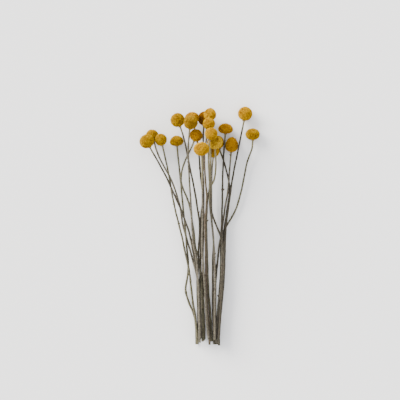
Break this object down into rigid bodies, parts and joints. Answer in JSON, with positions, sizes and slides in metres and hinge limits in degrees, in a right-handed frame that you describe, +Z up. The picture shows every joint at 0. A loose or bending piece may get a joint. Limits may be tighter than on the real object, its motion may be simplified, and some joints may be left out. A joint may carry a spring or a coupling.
{
  "type": "dried billy buttons bunch",
  "caption": "Gathered bunch of dried billy buttons lying on its side: slim woolly stems, close at their cut ends, fan out to round golden flower heads.",
  "frame": {"origin": "middle of the bunch's box, on the surface that it lies on", "axes": "+Y along the bunch from the cut ends to the heads, +Z up from the surface, +X to the right seen from above with the heads away"},
  "size_m": [0.2164, 0.4284, 0.0786],
  "materials": {
    "head_golden": "dry, felted golden florets",
    "head_pale": "dry, felted pale yellow florets",
    "head_brown": "dry, felted orange brown florets",
    "stem": "dry, finely ridged and woolly grey olive stem"
  },
  "bodies": {
    "root": {"head_01": "head_golden", "head_02": "head_golden", "head_03": "head_golden", "head_04": "head_golden", "head_05": "head_golden", "head_06": "head_golden", "head_07": "head_pale", "head_08": "head_brown", "head_09": "head_golden", "head_10": "head_golden", "head_11": "head_golden", "head_12": "head_pale", "head_13": "head_brown", "head_14": "head_golden", "head_15": "head_golden", "head_16": "head_brown", "head_17": "head_brown", "head_18": "head_brown", "head_19": "head_golden", "head_20": "head_golden", "stem_01": "stem", "stem_02": "stem", "stem_03": "stem", "stem_04": "stem", "stem_05": "stem", "stem_06": "stem", "stem_07": "stem", "stem_08": "stem", "stem_09": "stem", "stem_10": "stem", "stem_11": "stem", "stem_12": "stem", "stem_13": "stem", "stem_14": "stem", "stem_15": "stem", "stem_16": "stem", "stem_17": "stem", "stem_18": "stem", "stem_19": "stem", "stem_20": "stem"}
  },
  "joints": []
}
